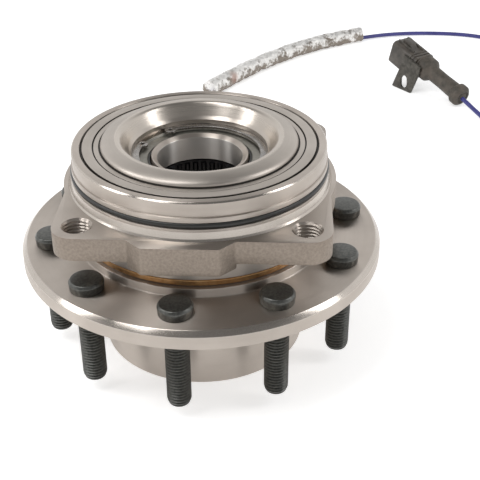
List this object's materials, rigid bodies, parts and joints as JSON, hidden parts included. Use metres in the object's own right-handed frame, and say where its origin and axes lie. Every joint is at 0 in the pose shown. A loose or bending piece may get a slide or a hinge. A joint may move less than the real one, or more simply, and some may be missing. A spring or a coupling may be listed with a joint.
{
  "type": "wheel hub bearing",
  "caption": "Flanged wheel hub with studs turning on tapered rollers in a bolt-on housing with knuckle pilot, dished cover, axle seal, and wheel speed sensor lead.",
  "frame": {"origin": "on the hub axis, at the face that the wheel bolts to", "axes": "+Z along the hub axis towards the vehicle, +Y towards the speed sensor, nose down"},
  "size_m": [0.4243, 0.6547, 0.1333],
  "materials": {
    "turned_steel": "turned, fine concentric marks",
    "ground_steel": "ground",
    "polished_steel": "polished by turning",
    "spring_steel": "blued",
    "black_studs": "black phosphate",
    "brown_coating": "varnished",
    "seal_grey": "matte",
    "black_rubber": "satin",
    "sensor_plastic": "moulded",
    "lead_jacket": "smooth",
    "foil": "creased foil",
    "boot_rubber": "matte",
    "shell_plastic": "moulded",
    "terminal_metal": "tinned",
    "tab_steel": "black painted"
  },
  "bodies": {
    "housing": {"bearing_housing": "turned_steel", "pilot_o_ring": "black_rubber", "outboard_cup": "ground_steel", "inboard_cup": "ground_steel", "outboard_seal_case": "brown_coating", "outboard_seal_lip": "black_rubber", "inboard_cover": "polished_steel", "retaining_ring": "spring_steel", "axle_seal_case": "seal_grey", "axle_seal_lip": "seal_grey", "speed_sensor": "sensor_plastic", "sensor_o_ring": "black_rubber", "sensor_screw": "spring_steel", "sensor_strain_relief": "black_rubber", "lead_cable": "lead_jacket", "heat_sleeve": "foil", "connector_boot": "boot_rubber", "connector_shell": "shell_plastic", "connector_terminals": "terminal_metal", "connector_tab": "tab_steel"},
    "hub": {"wheel_hub": "turned_steel", "wheel_studs": "black_studs", "outboard_cone": "ground_steel", "inboard_cone": "ground_steel", "tone_ring": "ground_steel", "wear_sleeve": "ground_steel", "needle_cup": "ground_steel"},
    "outboard_rolling": {"outboard_cage": "spring_steel", "outboard_rollers": "ground_steel"},
    "inboard_rolling": {"inboard_cage": "spring_steel", "inboard_rollers": "ground_steel"},
    "needles": {"needle_cage": "spring_steel", "needle_rollers": "ground_steel"}
  },
  "joints": [
    {"name": "hub_spin", "type": "hinge", "parent": "housing", "child": "hub", "pos_m": [0, 0, 0.0356], "axis": [0, 0, 1], "continuous": true},
    {"name": "outboard_cage_spin", "type": "hinge", "parent": "housing", "child": "outboard_rolling", "pos_m": [0, 0, 0.0356], "axis": [0, 0, 1], "continuous": true},
    {"name": "inboard_cage_spin", "type": "hinge", "parent": "housing", "child": "inboard_rolling", "pos_m": [0, 0, 0.0356], "axis": [0, 0, 1], "continuous": true},
    {"name": "needle_spin", "type": "hinge", "parent": "hub", "child": "needles", "pos_m": [0, 0, 0.0356], "axis": [0, 0, 1], "continuous": true}
  ],
  "couplings": [
    {"joint": "outboard_cage_spin", "follows": "hub_spin", "ratio": 0.45528},
    {"joint": "inboard_cage_spin", "follows": "hub_spin", "ratio": 0.45528}
  ]
}
